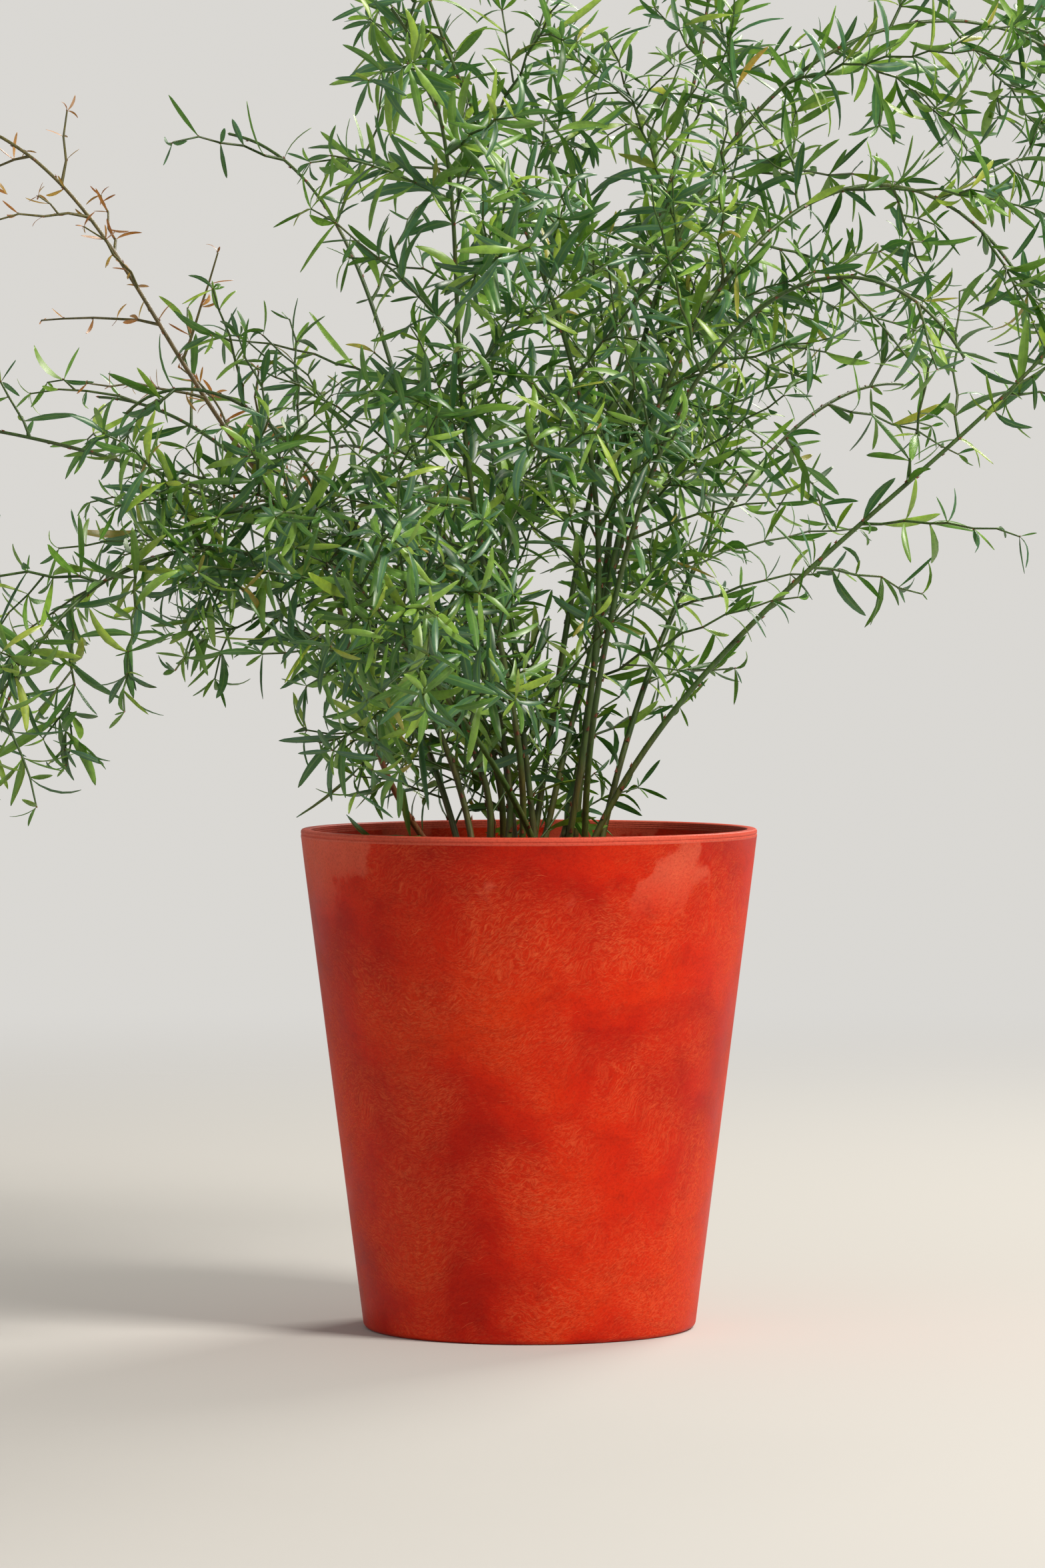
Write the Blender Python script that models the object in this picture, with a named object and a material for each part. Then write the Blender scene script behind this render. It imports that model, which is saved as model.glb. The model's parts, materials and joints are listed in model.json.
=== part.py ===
"""Potted asparagus fern: a tapered moulded pot, its soil, the rootstock, and the stems that grow from it.

Metres and degrees, +Z up. The origin is the centre of the pot's base, on the surface that it stands on.
+X is to the right and +Y is away from someone who stands in front. Nothing moves: the plant rests in its pot.
"""

import math
import random

import bmesh
import bpy
from mathutils import Matrix, Vector

# What touches keeps this gap.
GAP = 0.0003

# Pot
POT_HEIGHT = 0.197
POT_TOP_RADIUS = 0.090
POT_BASE_RADIUS = 0.0655
POT_WALL = 0.004
POT_FLOOR = 0.006
POT_STEPS = 48
BASE_EDGE_RADIUS = 0.0025
LIP_HEIGHT = 0.0032
LIP_OUTER_RADIUS = 0.0010
LIP_INNER_RADIUS = 0.0008
LINE_BELOW_TOP = 0.0020
LINE_DEPTH = 0.0003
FLOOR_CHAMFER = 0.004
DRAIN_HOLES = 4
DRAIN_RADIUS = 0.005
DRAIN_CIRCLE_RADIUS = 0.034
DRAIN_STEPS = 12

# Soil and rootstock
SOIL_BELOW_RIM = 0.027
SOIL_DOME = 0.003
CROWN_RADIUS = 0.034
CROWN_DEPTH = 0.012
CROWN_RISE = 0.009
CROWN_STEPS = 24

# Stems and what grows on them
STEM_BASE_RADIUS = 0.0014
STEM_TIP_RADIUS = 0.0006
STEM_FLARE = 1.35
STEM_FLARE_LENGTH = 0.004
STEM_RING_SPACING = 0.030
STEM_STEPS = 48
BRANCH_RADIUS = 0.0006
BRANCH_TIP_RADIUS = 0.0003
BRANCH_STEPS = 12
BRANCH_PLACES = 14
BRANCH_EVERY = 2
BRANCH_LAST = 0.97
BRANCH_LIFT = 52
BRANCH_FOLLOW = 0.25
BRANCH_DROOP = 0.55
ROLL_STEP = 137.5
ROLL_SPREAD = 20
CLADODE_LENGTH = 0.021
CLADODE_BASE = 0.0030
CLADODE_LIFT = 48
CLADODE_SPACING = 0.022
# What grows stops this far from its neighbours, from the pot and from the ground.
CLEARANCE = 0.0012
POT_CLEARANCE = 0.005
GROUND_CLEARANCE = 0.010

# Each stem: where it leaves the rootstock, as shares of the rootstock's radius to the right and to the back;
# the heading it leans to, counted from +X towards +Y; its length in millimetres; four angles from the vertical
# that its lean eases through from root to tip; two sideways angles, at root and tip; the share of its length
# that is bare at the bottom; and the reach of its longest side branch, in millimetres.
STEMS = {
    "frond_front_left_red": ((-0.76, -0.35), 212, 215, (53, 29, -36, 122), (6, 8), 0.42, 95),
    "frond_front_left_green": ((0.18, -0.53), 244, 197, (36, 63, 57, 60), (0, -1), 0.45, 85),
    "frond_front_tall": ((-0.12, -0.35), 189, 365, (-8, 55, -43, 45), (13, 32), 0.30, 90),
    "frond_front_right": ((0.65, -0.18), 300, 345, (15, 36, -48, 188), (-12, 38), 0.30, 90),
    "frond_left_droop": ((-0.59, -0.53), 231, 342, (-9, 51, 95, 182), (-13, -11), 0.34, 95),
    "frond_left_mid": ((-0.53, -0.12), 184, 263, (-22, 102, -60, 139), (2, 1), 0.28, 90),
    "frond_left_high": ((-0.29, 0.12), 153, 332, (-15, 72, -44, 80), (-1, 1), 0.28, 95),
    "frond_left_young": ((-0.47, 0.47), 168, 394, (-15, 122, -49, 90), (3, 1), 0.40, 60),
    "frond_left_back": ((-0.35, 0.71), 126, 393, (-31, 104, 55, 90), (7, 32), 0.30, 90),
    "frond_centre_main": ((0.41, -0.12), 223, 369, (1, -20, 61, 9), (13, -12), 0.26, 105),
    "frond_centre_rear": ((0.12, 0.29), 46, 229, (13, 18, 34, 15), (-4, 4), 0.20, 110),
    "frond_centre_short": ((0.10, -0.05), 95, 195, (2, 6, 14, 30), (6, 4), 0.14, 100),
    "frond_back_tall": ((0.00, 0.65), 81, 428, (15, -18, 106, -29), (-7, -9), 0.26, 100),
    "frond_back_low": ((-0.12, 0.92), 108, 300, (14, 30, 62, 95), (0, 6), 0.20, 105),
    "frond_back_left": ((-0.72, 0.58), 138, 310, (12, 40, 50, 88), (4, -6), 0.24, 100),
    "frond_back_right": ((0.75, 0.52), 52, 320, (10, 34, 52, 92), (-5, 5), 0.26, 100),
    "frond_right_arch": ((0.59, 0.24), 13, 335, (20, 55, 57, 36), (-4, -2), 0.46, 85),
    "frond_right_high": ((0.29, 0.59), 25, 507, (21, -10, 10, 157), (7, -13), 0.32, 105),
    "frond_right_droop": ((0.50, 0.62), 59, 472, (0, -7, -5, 261), (-5, -36), 0.32, 95),
}


def arc(centre_r, centre_z, radius, start, end, points):
    """Points (r, z) on an arc in the turning plane."""
    angles = [math.radians(start + (end - start) * i / (points - 1)) for i in range(points)]
    return [(centre_r + radius * math.cos(a), centre_z + radius * math.sin(a)) for a in angles]


def finish(bm, name, color, roughness):
    """Makes the named object of a closed mesh, its faces pointing out, with its own material."""
    bmesh.ops.recalc_face_normals(bm, faces=bm.faces)
    if bm.calc_volume(signed=True) < 0:
        bmesh.ops.reverse_faces(bm, faces=bm.faces)
    mesh = bpy.data.meshes.new(name)
    bm.to_mesh(mesh)
    bm.free()
    obj = bpy.data.objects.new(name, mesh)
    bpy.context.scene.collection.objects.link(obj)
    material = bpy.data.materials.new(name)
    material.use_nodes = True
    shader = material.node_tree.nodes["Principled BSDF"]
    shader.inputs["Base Color"].default_value = (*color, 1)
    shader.inputs["Roughness"].default_value = roughness
    shader.inputs["Metallic"].default_value = 0
    mesh.materials.append(material)
    return obj


def turned(name, outline, steps, color, roughness):
    """A solid turned about the vertical axis. The outline starts and ends on the axis."""
    bm = bmesh.new()
    corners = [bm.verts.new((r, 0, z)) for r, z in outline]
    edges = [bm.edges.new(pair) for pair in zip(corners, corners[1:])]
    bmesh.ops.spin(
        bm, geom=corners + edges, cent=(0, 0, 0), axis=(0, 0, 1), angle=math.tau, steps=steps, use_merge=True
    )
    bmesh.ops.remove_doubles(bm, verts=bm.verts, dist=1e-6)
    obj = finish(bm, name, color, roughness)
    obj.data.shade_smooth()
    obj.data.set_sharp_from_angle(angle=math.radians(30))
    return obj


# ---- Pot

WALL_TAPER = math.atan((POT_TOP_RADIUS - POT_BASE_RADIUS) / (POT_HEIGHT - LIP_HEIGHT))


def outer_radius(z):
    """The pot's outside radius below its lip."""
    return POT_BASE_RADIUS + z * math.tan(WALL_TAPER)


def inner_radius(z):
    return outer_radius(z) - POT_WALL


def make_pot():
    top = POT_TOP_RADIUS
    edge_r = outer_radius(BASE_EDGE_RADIUS) - BASE_EDGE_RADIUS / math.cos(WALL_TAPER)
    line_z = POT_HEIGHT - LINE_BELOW_TOP
    outline = [(0, 0)]
    outline += arc(edge_r, BASE_EDGE_RADIUS, BASE_EDGE_RADIUS, -90, -math.degrees(WALL_TAPER), 3)
    outline += [(top, POT_HEIGHT - LIP_HEIGHT)]
    outline += [(top, line_z - LINE_DEPTH), (top - LINE_DEPTH, line_z), (top, line_z + LINE_DEPTH)]
    outline += arc(top - LIP_OUTER_RADIUS, POT_HEIGHT - LIP_OUTER_RADIUS, LIP_OUTER_RADIUS, 0, 90, 3)
    lip_in = top - POT_WALL
    outline += arc(lip_in + LIP_INNER_RADIUS, POT_HEIGHT - LIP_INNER_RADIUS, LIP_INNER_RADIUS, 90, 180, 3)
    outline += [(lip_in, POT_HEIGHT - LIP_HEIGHT)]
    outline += [(inner_radius(POT_FLOOR + FLOOR_CHAMFER), POT_FLOOR + FLOOR_CHAMFER)]
    outline += [(inner_radius(POT_FLOOR) - FLOOR_CHAMFER, POT_FLOOR), (0, POT_FLOOR)]
    pot = turned("pot", outline, POT_STEPS, (0.42, 0.06, 0.03), 0.45)

    bm = bmesh.new()
    for k in range(DRAIN_HOLES):
        turn = Matrix.Rotation(math.tau * (k + 0.5) / DRAIN_HOLES, 4, "Z")
        place = turn @ Matrix.Translation((DRAIN_CIRCLE_RADIUS, 0, POT_FLOOR / 2))
        bmesh.ops.create_cone(
            bm, cap_ends=True, segments=DRAIN_STEPS, radius1=DRAIN_RADIUS, radius2=DRAIN_RADIUS,
            depth=POT_FLOOR * 2, matrix=place,
        )
    mesh = bpy.data.meshes.new("drain_cutter")
    bm.to_mesh(mesh)
    bm.free()
    cutter = bpy.data.objects.new("drain_cutter", mesh)
    bpy.context.scene.collection.objects.link(cutter)
    cutter.hide_render = True
    cutter.display_type = "WIRE"
    cut = pot.modifiers.new("drain_holes", "BOOLEAN")
    cut.object = cutter
    cut.operation = "DIFFERENCE"
    cut.solver = "EXACT"


# ---- Soil and rootstock

SOIL_EDGE_Z = POT_HEIGHT - SOIL_BELOW_RIM
SOIL_TOP_Z = SOIL_EDGE_Z + SOIL_DOME


def crown_z(share):
    """The height of the rootstock's top, at a share of its radius from the axis."""
    return SOIL_TOP_Z + CROWN_RISE * (1 - share**2)


def make_soil():
    bottom = POT_FLOOR + GAP
    chamfer_z = POT_FLOOR + FLOOR_CHAMFER + GAP
    pocket_r = CROWN_RADIUS + GAP
    pocket_z = SOIL_TOP_Z - CROWN_DEPTH - GAP
    outline = [(0, bottom), (inner_radius(POT_FLOOR) - FLOOR_CHAMFER - GAP, bottom)]
    outline += [(inner_radius(chamfer_z) - GAP, chamfer_z), (inner_radius(SOIL_EDGE_Z) - GAP, SOIL_EDGE_Z)]
    outline += [(pocket_r, SOIL_TOP_Z), (pocket_r, pocket_z), (0, pocket_z)]
    turned("soil", outline, POT_STEPS, (0.03, 0.018, 0.011), 0.95)


def make_crown():
    outline = [(0, SOIL_TOP_Z - CROWN_DEPTH), (CROWN_RADIUS, SOIL_TOP_Z - CROWN_DEPTH)]
    outline += [(CROWN_RADIUS * share, crown_z(share)) for share in (1, 0.8, 0.55, 0.28, 0)]
    turned("root_crown", outline, CROWN_STEPS, (0.16, 0.09, 0.045), 0.85)


# ---- Stems


def eased(values, t):
    """A Bezier curve through control values, at t from 0 to 1."""
    n = len(values) - 1
    return sum(v * math.comb(n, i) * t**i * (1 - t) ** (n - i) for i, v in enumerate(values))


class Path:
    """A smooth line in space that can be asked for its point and direction at any distance along it."""

    def __init__(self, start, headings, length):
        self.length = length
        self.step = length / len(headings)
        self.points = [start]
        for heading in headings:
            self.points.append(self.points[-1] + heading * self.step)
        self.headings = headings
        self.sides = []
        side = headings[0].orthogonal().normalized()
        for heading in headings:
            side = (side - heading * side.dot(heading)).normalized()
            self.sides.append(side)

    def at(self, distance):
        place = min(max(distance / self.step, 0), len(self.headings) - 1e-6)
        i = int(place)
        return self.points[i].lerp(self.points[i + 1], place - i)

    def heading(self, distance):
        return self.headings[min(int(max(distance, 0) / self.step), len(self.headings) - 1)]

    def across(self, distance, roll):
        """The direction square to the path, turned about it by roll degrees from its carried side."""
        i = min(int(max(distance, 0) / self.step), len(self.headings) - 1)
        return Matrix.Rotation(math.radians(roll), 3, self.headings[i]) @ self.sides[i]


def stem_path(root, towards, length, lean, sway):
    """The line of a stem from the rootstock's surface to its tip."""
    out = Vector((math.cos(math.radians(towards)), math.sin(math.radians(towards)), 0))
    side = Vector((-out.y, out.x, 0))
    headings = []
    for i in range(STEM_STEPS):
        t = (i + 0.5) / STEM_STEPS
        tilt = math.radians(eased(lean, t))
        turn = math.radians(eased(sway, t))
        upright = out * math.sin(tilt) + Vector((0, 0, math.cos(tilt)))
        headings.append(upright * math.cos(turn) + side * math.sin(turn))
    share = Vector(root).length
    ground = Vector((root[0], root[1], 0)) * CROWN_RADIUS
    surface = ground + Vector((0, 0, crown_z(share)))
    normal = Vector((root[0], root[1], CROWN_RADIUS / (2 * CROWN_RISE))).normalized()
    foot = STEM_BASE_RADIUS * STEM_FLARE * headings[0].cross(normal).length
    return Path(surface + normal * (GAP + foot), headings, length)


def branch_path(stem, distance, roll, reach):
    """The line of a side branch: it lifts off the stem, follows it a little, and bends down with its weight."""
    along = stem.heading(distance)
    out = stem.across(distance, roll)
    lift = math.radians(BRANCH_LIFT)
    first = along * math.cos(lift) + out * math.sin(lift)
    headings = []
    for i in range(BRANCH_STEPS):
        t = (i + 0.5) / BRANCH_STEPS
        sag = Vector((0, 0, BRANCH_DROOP * t**1.5))
        headings.append((first + along * BRANCH_FOLLOW * t - sag).normalized())
    return Path(stem.at(distance), headings, reach)


def branch_places(number, length, bare, reach):
    """Where a stem's side branches stand: (distance, roll, reach) for each, in the stem's own order."""
    rng = random.Random(number)
    places = []
    for j in range(BRANCH_PLACES):
        t = j / (BRANCH_PLACES - 1)
        distance = length * (bare + (BRANCH_LAST - bare) * t)
        roll = j * ROLL_STEP + rng.uniform(-ROLL_SPREAD, ROLL_SPREAD)
        fullness = 0.55 + 0.45 * math.sin(math.pi * min(0.15 + 0.95 * t, 1))
        places.append((distance, roll, reach * fullness * rng.uniform(0.75, 1.0)))
    return places


class Room:
    """The thin rods that stand already, so that what grows later stops short of them."""

    def __init__(self):
        self.rods = []

    def add(self, start, end, radius, owner):
        self.rods.append((start, end, radius, owner))

    def free(self, start, end, radius, skip):
        for point in (start, end, start.lerp(end, 0.5)):
            if not clear_of_pot(point):
                return False
        middle = (start + end) / 2
        half = (end - start).length / 2
        for a, b, r, owner in self.rods:
            if owner in skip:
                continue
            near = half + (b - a).length / 2 + radius + r + CLEARANCE
            if ((a + b) / 2 - middle).length_squared > near * near:
                continue
            if rod_distance(start, end, a, b) < radius + r + CLEARANCE:
                return False
        return True


def clear_of_pot(point):
    """Whether a point is off the ground, the soil and the pot's wall."""
    if point.z > POT_HEIGHT + POT_CLEARANCE:
        return True
    out = math.hypot(point.x, point.y)
    if out > POT_TOP_RADIUS + POT_CLEARANCE:
        return point.z > GROUND_CLEARANCE
    inside = out < inner_radius(SOIL_EDGE_Z) - POT_CLEARANCE
    return inside and point.z > SOIL_TOP_Z + CROWN_RISE + POT_CLEARANCE


def rod_distance(p1, q1, p2, q2):
    """The least distance between two straight rods' centre lines."""
    d1, d2, r = q1 - p1, q2 - p2, p1 - p2
    a, e, f = d1.dot(d1), d2.dot(d2), d2.dot(r)
    c, b = d1.dot(r), d1.dot(d2)
    denominator = a * e - b * b
    s = min(max((b * f - c * e) / denominator, 0), 1) if denominator > 1e-12 else 0.0
    t = (b * s + f) / e
    if t < 0:
        t, s = 0.0, min(max(-c / a, 0), 1)
    elif t > 1:
        t, s = 1.0, min(max((b - c) / a, 0), 1)
    return ((p1 + d1 * s) - (p2 + d2 * t)).length


def ring(bm, centre, heading, first_side, radius):
    """Four corners square to the heading, the first one midway between first_side and the next side."""
    corners = []
    for k in range(4):
        turn = Matrix.Rotation(math.radians(45 + 90 * k), 3, heading)
        corners.append(bm.verts.new(centre + turn @ first_side * radius))
    return corners


def skin(bm, lower, upper):
    """The four side faces between two rings. Face k looks along the first side turned by 90 * (k + 1)."""
    return [
        bm.faces.new((lower[k], lower[(k + 1) % 4], upper[(k + 1) % 4], upper[k])) for k in range(4)
    ]


def grow_cladode(bm, face, heading, room, owner):
    """Draws one side face of a branch out into a slim pointed blade, unless something stands in its way."""
    face.normal_update()
    lift = math.radians(CLADODE_LIFT)
    direction = (heading * math.cos(lift) + face.normal * math.sin(lift)).normalized()
    start = face.calc_center_median()
    end = start + direction * CLADODE_LENGTH
    if not room.free(start + direction * CLEARANCE * 2, end, CLADODE_BASE / 3, {owner}):
        return
    room.add(start, end, CLADODE_BASE / 3, owner)
    point = bmesh.ops.poke(bm, faces=[face])["verts"][0]
    point.co = end


def grow_branch(bm, face, path, room, owner, stem_owner):
    """Grows a side branch out of one face of its stem, with pairs of cladodes, as far as there is room."""
    nodes = []
    distance = CLADODE_SPACING * 0.6
    while distance < path.length - CLADODE_BASE:
        nodes.append(distance)
        distance += CLADODE_SPACING
    stations = [(STEM_BASE_RADIUS * 2, False)]
    for node in nodes:
        stations += [(node - CLADODE_BASE / 2, False), (node + CLADODE_BASE / 2, True)]
    stations.append((path.length, False))

    reached = 1
    for i in range(1, len(stations)):
        start, end = path.at(stations[i - 1][0]), path.at(stations[i][0])
        skip = {owner, stem_owner} if i < 2 else {owner}
        if not room.free(start, end, BRANCH_RADIUS, skip):
            break
        reached = i
    if reached < 3:
        return
    stations = stations[: reached + 1]

    lower = list(face.verts)
    first_edge = (lower[0].co + lower[1].co) / 2 - face.calc_center_median()
    side = Matrix.Rotation(math.radians(-90), 3, path.heading(0)) @ first_edge
    bm.faces.remove(face)
    blades = []
    for i, (distance, ends_node) in enumerate(stations[:-1]):
        heading = path.heading(distance)
        side = (side - heading * side.dot(heading)).normalized()
        radius = BRANCH_RADIUS + (BRANCH_TIP_RADIUS - BRANCH_RADIUS) * distance / path.length
        upper = ring(bm, path.at(distance), heading, side, radius)
        faces = skin(bm, lower, upper)
        if ends_node:
            pair = (i // 2) % 2
            blades += [(faces[pair], heading), (faces[pair + 2], heading)]
        lower = upper
    tip = bm.verts.new(path.at(stations[-1][0]))
    for k in range(4):
        bm.faces.new((lower[k], lower[(k + 1) % 4], tip))
    for i in range(1, len(stations)):
        room.add(path.at(stations[i - 1][0]), path.at(stations[i][0]), BRANCH_RADIUS, owner)
    for blade, heading in blades:
        grow_cladode(bm, blade, heading, room, owner)


def make_stem(number, name, values, room):
    """Builds one stem ring by ring, then grows its side branches out of the faces left for them."""
    root, towards, length, lean, sway, bare, reach = values
    path = stem_path(root, towards, length / 1000, lean, sway)
    places = branch_places(number, path.length, bare, reach / 1000)[::BRANCH_EVERY]

    half_base = STEM_BASE_RADIUS  # a side branch's root takes this much of the stem either way
    stations = [(0, 0, None), (STEM_FLARE_LENGTH, 0, None)]
    for place in places:
        distance, roll, _ = place
        start = stations[-1][0]
        between = int((distance - half_base - start) / STEM_RING_SPACING)
        for k in range(between):
            step = (distance - half_base - start) / (between + 1)
            stations.append((start + step * (k + 1), stations[-1][1], None))
        quarter = (roll + 45) % 90 - 45
        stations += [(distance - half_base, quarter, None), (distance + half_base, quarter, place)]
    stations.append((path.length, stations[-1][1], None))

    bm = bmesh.new()
    lower = None
    branches = []
    for distance, quarter, place in stations:
        radius = STEM_BASE_RADIUS + (STEM_TIP_RADIUS - STEM_BASE_RADIUS) * distance / path.length
        if distance == 0:
            radius *= STEM_FLARE
        side = path.across(distance, quarter)
        upper = ring(bm, path.at(distance), path.heading(distance), side, radius)
        if lower is None:
            bm.faces.new(reversed(upper))
        else:
            faces = skin(bm, lower, upper)
            if place:
                index = int(round((place[1] - quarter) / 90)) - 1
                branches.append((faces[index % 4], place))
        lower = upper
    bm.faces.new(lower)
    for k, (face, (distance, roll, branch_reach)) in enumerate(branches):
        grow_branch(bm, face, branch_path(path, distance, roll, branch_reach), room, f"{name}.{k}", name)
    finish(bm, name, (0.05, 0.14, 0.03), 0.5)


def main():
    for obj in list(bpy.data.objects):
        bpy.data.objects.remove(obj)
    make_pot()
    make_soil()
    make_crown()
    room = Room()
    for name, values in STEMS.items():
        root, towards, length, lean, sway, _, _ = values
        path = stem_path(root, towards, length / 1000, lean, sway)
        for i in range(len(path.headings)):
            room.add(path.points[i], path.points[i + 1], STEM_BASE_RADIUS * STEM_FLARE, name)
    for number, (name, values) in enumerate(STEMS.items()):
        make_stem(number, name, values, room)


main()
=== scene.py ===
"""The finished look of a potted asparagus fern: a moulded pot, potting mix, a rootstock and leafy stems.

Metres, +Z up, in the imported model's own frame. The front is seen along +Y, with +X to the right.
"""

import json
import math
import random

import bmesh
import bpy
from mathutils import Matrix, Vector, noise

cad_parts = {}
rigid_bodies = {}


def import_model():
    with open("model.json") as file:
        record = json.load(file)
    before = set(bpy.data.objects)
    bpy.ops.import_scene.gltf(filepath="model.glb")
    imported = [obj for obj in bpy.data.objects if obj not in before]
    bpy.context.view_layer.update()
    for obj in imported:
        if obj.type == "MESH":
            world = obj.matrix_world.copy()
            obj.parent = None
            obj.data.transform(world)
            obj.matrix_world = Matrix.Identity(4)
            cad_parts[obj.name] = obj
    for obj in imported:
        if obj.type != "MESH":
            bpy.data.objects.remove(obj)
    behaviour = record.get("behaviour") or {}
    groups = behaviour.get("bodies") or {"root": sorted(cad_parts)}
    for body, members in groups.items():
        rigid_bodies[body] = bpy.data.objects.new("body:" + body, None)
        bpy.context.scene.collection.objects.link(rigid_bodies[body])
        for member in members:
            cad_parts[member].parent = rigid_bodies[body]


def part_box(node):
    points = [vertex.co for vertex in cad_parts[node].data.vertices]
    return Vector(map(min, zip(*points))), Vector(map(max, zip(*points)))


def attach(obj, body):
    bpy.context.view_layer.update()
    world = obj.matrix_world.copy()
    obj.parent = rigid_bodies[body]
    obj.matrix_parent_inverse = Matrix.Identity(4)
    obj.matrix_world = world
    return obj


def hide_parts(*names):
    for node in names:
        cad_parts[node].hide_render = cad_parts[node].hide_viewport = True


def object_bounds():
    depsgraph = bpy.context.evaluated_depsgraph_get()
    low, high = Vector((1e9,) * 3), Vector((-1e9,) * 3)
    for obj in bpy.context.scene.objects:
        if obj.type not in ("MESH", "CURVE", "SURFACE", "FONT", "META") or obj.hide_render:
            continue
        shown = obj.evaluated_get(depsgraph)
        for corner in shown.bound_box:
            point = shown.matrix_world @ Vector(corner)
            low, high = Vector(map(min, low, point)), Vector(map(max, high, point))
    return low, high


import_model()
cad_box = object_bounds()


# ---- Studio: a round floor of matt pale paper, which fades out into a pale surround so that no edge shows.
# Three soft lamps stand round it: a key at the front right, a weak fill and a rim lamp behind.

floor_radius, floor_sides, fade_start, fade_end = 9.0, 96, 0.5, 1.9
floor_color = (0.54, 0.528, 0.508, 1)
surround_color = (0.70, 0.685, 0.655, 1)


def as_object(name, bm, in_scene=False):
    """The named object of a mesh that is built by hand."""
    mesh = bpy.data.meshes.new(name)
    bm.to_mesh(mesh)
    bm.free()
    obj = bpy.data.objects.new(name, mesh)
    if in_scene:
        bpy.context.scene.collection.objects.link(obj)
    return obj


bm = bmesh.new()
bmesh.ops.create_circle(bm, cap_ends=True, segments=floor_sides, radius=floor_radius)
studio = as_object("studio_floor", bm, in_scene=True)
paper = bpy.data.materials.new("studio_floor")
paper.use_nodes = True
nodes, links = paper.node_tree.nodes, paper.node_tree.links
nodes["Principled BSDF"].inputs["Base Color"].default_value = floor_color
nodes["Principled BSDF"].inputs["Roughness"].default_value = 0.9
nodes["Principled BSDF"].inputs["Specular IOR Level"].default_value = 0.1
spot = nodes.new("ShaderNodeTexCoord")
span = nodes.new("ShaderNodeVectorMath")
span.operation = "LENGTH"
fade = nodes.new("ShaderNodeMapRange")
fade.interpolation_type = "SMOOTHSTEP"
for k, value in enumerate((0.0, fade_start, fade_end, 1.0, 0.0)):
    fade.inputs[k].default_value = value
links.new(spot.outputs["Object"], span.inputs[0])
links.new(span.outputs["Value"], fade.inputs[0])
links.new(fade.outputs[0], nodes["Principled BSDF"].inputs["Alpha"])
studio.data.materials.append(paper)


def lamp(name, stand, target, width, height, watts, color):
    """A soft box that stands at one point and faces another."""
    light = bpy.data.lights.new(name, "AREA")
    light.shape, light.size, light.size_y = "RECTANGLE", width, height
    light.energy, light.color = watts, color
    holder = bpy.data.objects.new(name, light)
    holder.location = stand
    holder.rotation_euler = (Vector(target) - Vector(stand)).to_track_quat("-Z", "Y").to_euler()
    bpy.context.scene.collection.objects.link(holder)


lamp("key_softbox", (1.25, -1.05, 1.75), (0, 0, 0.25), 0.6, 0.6, 54, (1.0, 0.95, 0.87))
lamp("fill_softbox", (-1.7, -1.5, 0.9), (0, 0, 0.28), 1.6, 1.4, 5, (0.93, 0.96, 1.0))
lamp("rim_softbox", (0.9, 1.35, 1.5), (0, 0, 0.38), 0.8, 0.6, 30, (1.0, 0.96, 0.88))

# the surround is seen paler than the light that it gives
world = bpy.data.worlds.new("studio_surround")
world.use_nodes = True
nodes, links = world.node_tree.nodes, world.node_tree.links
seen = nodes.new("ShaderNodeBackground")
seen.inputs["Color"].default_value = surround_color
nodes["Background"].inputs["Color"].default_value = (1.0, 0.97, 0.92, 1)
nodes["Background"].inputs["Strength"].default_value = 0.34
ray = nodes.new("ShaderNodeLightPath")
pick = nodes.new("ShaderNodeMixShader")
links.new(ray.outputs["Is Camera Ray"], pick.inputs[0])
links.new(nodes["Background"].outputs[0], pick.inputs[1])
links.new(seen.outputs[0], pick.inputs[2])
links.new(pick.outputs[0], nodes["World Output"].inputs["Surface"])
bpy.context.scene.world = world
bpy.context.scene.view_settings.view_transform = "Standard"

camera = bpy.data.objects.new("camera", bpy.data.cameras.new("camera"))
camera.data.lens, camera.data.sensor_width = 151.4, 36
camera.location = (-0.0024, -2.6, 0.303)
camera.rotation_euler = (math.radians(90 - 1.95), math.radians(0.07), 0)
camera.data.clip_end = 30
bpy.context.scene.collection.objects.link(camera)
bpy.context.scene.camera = camera


# ---- Pot: moulded in one piece from a stone-filled plastic, terracotta red, with a thin square lip, a fine
# line round it and four drainage holes. The filler swirls as the mould fills, which leaves paler clouds thick
# with fine fibres, and pale islands under the lip.

pot_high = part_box("pot")[1]
pot_height = pot_high.z
# outer radii at the lip and at the foot, and the thickness of the wall and the floor
pot_top = pot_high.x
pot_base = 0.0655
pot_wall = 0.004
pot_floor = 0.006
# the lip stands proud of the wall by a hair, and its line is a V cut
lip_height = 0.0032
lip_step = 0.0001
line_below_top = 0.0020
line_depth = 0.0003
# rounded edges: round the foot, outside and inside the lip, and where the floor meets the wall
base_edge = 0.0025
lip_outer = 0.0010
lip_inner = 0.0008
floor_corner = 0.004
pot_steps = 240
pot_taper = math.atan((pot_top - pot_base) / (pot_height - lip_height))
hole_count, hole_radius, hole_ring, hole_sides = 4, 0.005, 0.034, 32


def place(tree, kind, inputs=None, **settings):
    """Adds a node to a tree. Its inputs, by name or number, take a value or another node's output."""
    node = tree.nodes.new(kind)
    for name, value in settings.items():
        setattr(node, name, value)
    for key, value in (inputs or {}).items():
        if isinstance(value, bpy.types.NodeSocket):
            tree.links.new(value, node.inputs[key])
        else:
            node.inputs[key].default_value = value
    return node


def made(tree, kind, inputs=None, **settings):
    """The first output of a new node."""
    return place(tree, kind, inputs, **settings).outputs[0]


def blank_material(name):
    """A new material, its tree, its Principled shader, and the place on the object that is being coloured."""
    material = bpy.data.materials.new(name)
    material.use_nodes = True
    tree = material.node_tree
    where = place(tree, "ShaderNodeTexCoord").outputs["Object"]
    return material, tree, tree.nodes["Principled BSDF"], where


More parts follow.
